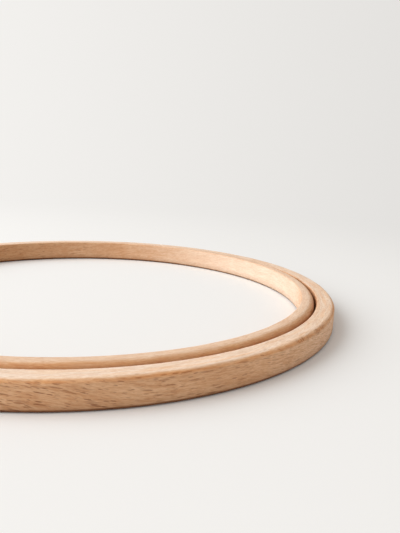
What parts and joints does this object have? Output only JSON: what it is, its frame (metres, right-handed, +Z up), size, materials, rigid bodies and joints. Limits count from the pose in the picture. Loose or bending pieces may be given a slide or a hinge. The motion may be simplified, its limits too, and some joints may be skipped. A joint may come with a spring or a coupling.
{
  "type": "embroidery hoop",
  "caption": "Bentwood embroidery hoop: a closed inner ring that lifts out of a split outer ring, drawn tight round the cloth by a brass thumb screw.",
  "frame": {"origin": "centre of the inner ring's opening, halfway up its wall", "axes": "+Z up along the rings' axis, with the hoop lying flat on its lower faces; +X from the clamp to the far side of the rings; +Y from the nut towards the thumb screw's head"},
  "size_m": [0.2323, 0.22, 0.0104],
  "materials": {
    "beech_outer": "fine sanded, bare",
    "beech_inner": "fine sanded, bare",
    "brass_sheet": "pressed and tumbled",
    "brass_rivet": "pressed",
    "brass_turned": "turned"
  },
  "bodies": {
    "outer_frame": {"outer_ring": "beech_outer", "fixed_lug": "brass_sheet", "fixed_lug_rivets": "brass_rivet", "captive_nut": "brass_turned"},
    "inner_ring": {"inner_ring": "beech_inner"},
    "moving_end": {"moving_lug": "brass_sheet", "moving_lug_rivets": "brass_rivet", "screw_washer": "brass_turned"},
    "thumb_screw": {"thumb_screw": "brass_turned"}
  },
  "joints": [
    {"name": "inner_ring_lift", "type": "slide", "parent": "outer_frame", "child": "inner_ring", "axis": [0, 0, 1], "range_m": [0, 0.025]},
    {"name": "clamp_close", "type": "hinge", "parent": "outer_frame", "child": "moving_end", "pos_m": [0.1063, 0, -0.0005], "axis": [0, 0, 1], "range_deg": [-1.08, 0.36], "deforming": ["outer_ring"]},
    {"name": "screw_turn", "type": "hinge", "parent": "moving_end", "child": "thumb_screw", "pos_m": [-0.1175, 0, -0.0005], "axis": [0, -1, 0], "range_deg": [-2160, 720]}
  ],
  "couplings": [
    {"joint": "screw_turn", "follows": "clamp_close", "ratio": 2008.8}
  ]
}
